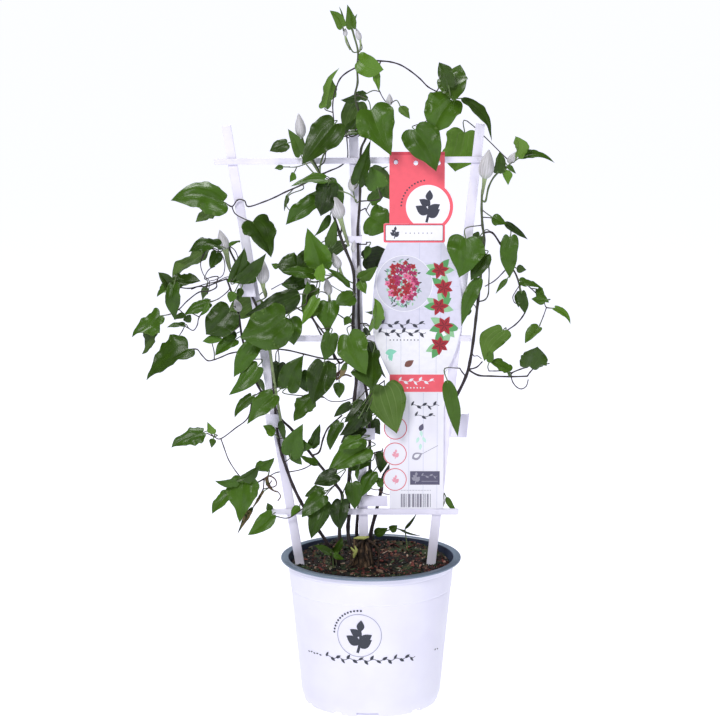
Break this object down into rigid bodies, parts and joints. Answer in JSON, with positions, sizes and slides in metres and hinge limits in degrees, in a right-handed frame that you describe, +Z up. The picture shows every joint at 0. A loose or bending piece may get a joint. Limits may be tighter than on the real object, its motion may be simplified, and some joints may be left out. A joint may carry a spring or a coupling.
{
  "type": "potted clematis",
  "caption": "Climbing plant with heart-shaped leaves, twining stems and pale buds on a fan trellis with a hanging plate, in a round nursery pot.",
  "frame": {"origin": "centre of the pot's underside, on the floor", "axes": "+Z up along the pot's axis, -Y towards the front, where the plate and the bars of the trellis are, +X to the viewer's right"},
  "size_m": [0.4528, 0.19, 0.7316],
  "materials": {
    "pot": "satin white polypropylene with a grey rim",
    "potting_mix": "loose peat and bark",
    "trellis": "satin white plastic",
    "printed_plate": "printed plastic sheet",
    "clip": "satin white plastic",
    "clematis": "satin leaves on thin woody stems"
  },
  "bodies": {
    "root": {"pot": "pot", "soil": "potting_mix", "trellis_left": "trellis", "trellis_middle": "trellis", "trellis_right": "trellis", "bar_top": "trellis", "bar_middle": "trellis", "bar_bottom": "trellis", "tag": "printed_plate", "clip_1": "clip", "clip_2": "clip", "clip_3": "clip", "clip_4": "clip", "clip_5": "clip", "clip_6": "clip", "stem_left": "clematis", "stem_left_back": "clematis", "stem_centre": "clematis", "stem_top": "clematis", "stem_right": "clematis", "sprig_left": "clematis", "sprig_right": "clematis", "sprig_back": "clematis", "grass_blade": "clematis"}
  },
  "joints": []
}
